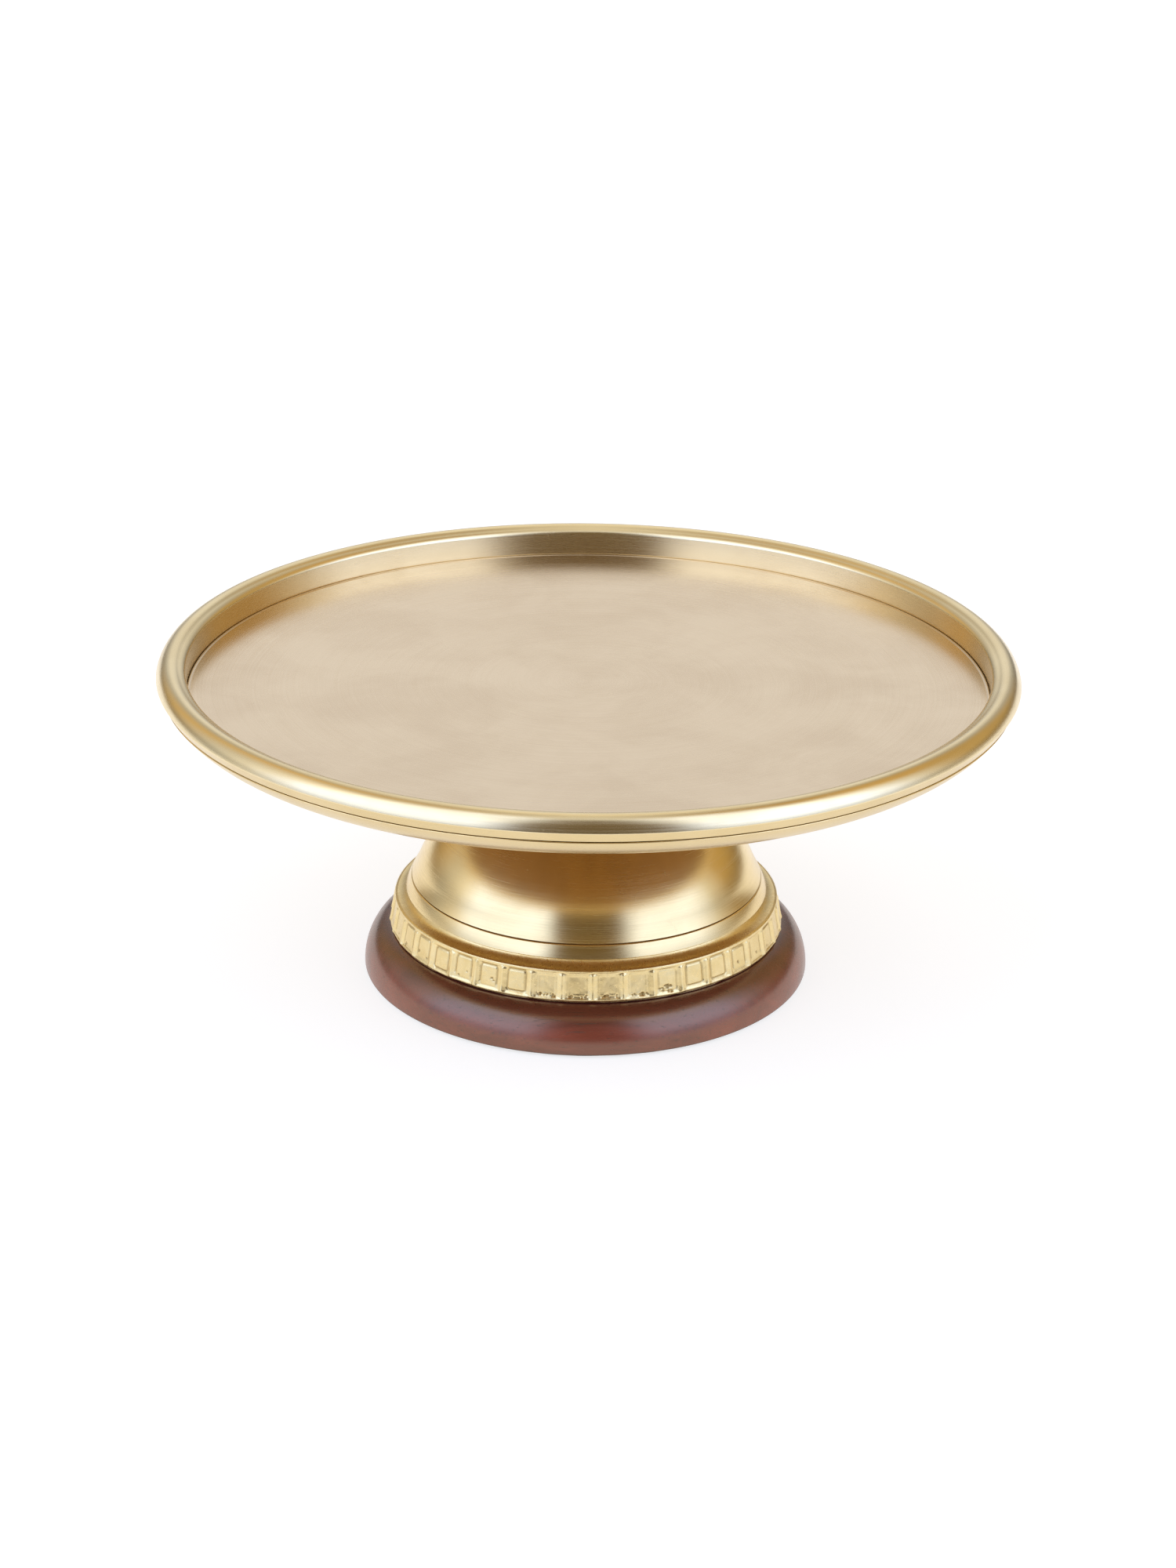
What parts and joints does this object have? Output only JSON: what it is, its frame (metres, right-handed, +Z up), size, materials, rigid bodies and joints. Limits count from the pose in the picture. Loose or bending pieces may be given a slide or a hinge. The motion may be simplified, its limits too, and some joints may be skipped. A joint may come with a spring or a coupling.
{
  "type": "cake stand",
  "caption": "Low pedestal cake stand: a round gold-finished dish tray with a rolled rim, on a spun bell foot with a fret ring and a dark turned wooden plinth.",
  "frame": {"origin": "centre of the felt pad's underside, where the stand rests on a table", "axes": "+Z up along the stand's turning axis; +X and +Y across the tray, one ring screw at +Y"},
  "size_m": [0.3048, 0.3048, 0.1201],
  "materials": {
    "satin_gold": "satin, fine turned brushing",
    "cast_gold": "hand-finished casting, satin",
    "mahogany": "dark reddish stain, satin lacquer",
    "felt": "dark pressed felt",
    "fibre": "vulcanised fibre, matt",
    "zinc_steel": "zinc plated"
  },
  "bodies": {
    "root": {"tray_dish": "satin_gold", "tray_rim": "satin_gold", "tray_boss": "cast_gold", "neck_washer": "fibre", "bell": "satin_gold", "fret_ring": "cast_gold", "plinth": "mahogany", "felt_pad": "felt", "ring_screw_1": "zinc_steel", "ring_screw_2": "zinc_steel", "ring_screw_3": "zinc_steel", "tie_rod": "zinc_steel", "rod_lock_nut": "zinc_steel", "clamp_washer": "zinc_steel", "spring_washer": "zinc_steel", "clamp_nut": "zinc_steel"}
  },
  "joints": []
}
